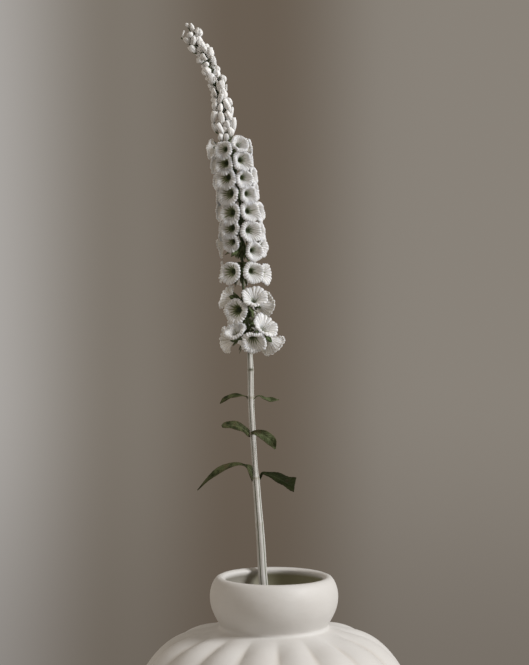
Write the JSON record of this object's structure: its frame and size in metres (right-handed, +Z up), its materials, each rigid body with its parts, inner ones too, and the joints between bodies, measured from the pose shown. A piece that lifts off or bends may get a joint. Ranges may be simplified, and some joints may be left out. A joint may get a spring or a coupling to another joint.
{
  "type": "flower spike in a vase",
  "caption": "Tall cut spike of small white ruffled bells with an arching tip of closed buds, standing in a round ribbed ceramic vase with a bulging collar.",
  "frame": {"origin": "centre of the vase's foot ring, on the surface it stands on", "axes": "+Z up; -Y is the front, the side from which the spike shows best; +X is to the right seen from the front"},
  "size_m": [0.3224, 0.3224, 0.9441],
  "materials": {
    "ceramic": "matte unglazed warm off-white ceramic, very fine grain",
    "stem_skin": "dry pale grey-cream stem, green among the flowers",
    "leaf": "matte dark olive leaf, brownish in places",
    "petal": "matte white ribbed petal, dark green throat and calyx",
    "bud": "matte white closed bud on a green stalk"
  },
  "bodies": {
    "root": {"bud_cluster_lower": "bud", "bud_cluster_middle": "bud", "bud_cluster_tip": "bud", "flower_01_back_left": "petal", "flower_01_back_right": "petal", "flower_01_front_left": "petal", "flower_01_front_right": "petal", "flower_02_back_left": "petal", "flower_02_back_right": "petal", "flower_02_front_left": "petal", "flower_02_front_right": "petal", "flower_03_back_left": "petal", "flower_03_back_right": "petal", "flower_03_front_left": "petal", "flower_03_front_right": "petal", "flower_04_back": "petal", "flower_04_front_left": "petal", "flower_04_front_right": "petal", "flower_04_left": "petal", "flower_04_right": "petal", "flower_05_back_left": "petal", "flower_05_back_right": "petal", "flower_05_front_left": "petal", "flower_05_front_right": "petal", "flower_06_back": "petal", "flower_06_front_left": "petal", "flower_06_front_right": "petal", "flower_06_left": "petal", "flower_06_right": "petal", "flower_07_back_left": "petal", "flower_07_back_right": "petal", "flower_07_front_left": "petal", "flower_07_front_right": "petal", "flower_08_back": "petal", "flower_08_front_left": "petal", "flower_08_front_right": "petal", "flower_08_left": "petal", "flower_08_right": "petal", "flower_09_back_left": "petal", "flower_09_back_right": "petal", "flower_09_front_left": "petal", "flower_09_front_right": "petal", "flower_10_back": "petal", "flower_10_front_left": "petal", "flower_10_front_right": "petal", "flower_10_left": "petal", "flower_10_right": "petal", "flower_11_back_left": "petal", "flower_11_back_right": "petal", "flower_11_front": "petal", "flower_11_left": "petal", "flower_11_right": "petal", "leaf_lower_left": "leaf", "leaf_lower_right": "leaf", "leaf_middle_left": "leaf", "leaf_middle_right": "leaf", "leaf_upper_left": "leaf", "leaf_upper_right": "leaf", "stem": "stem_skin", "vase": "ceramic"}
  },
  "joints": []
}
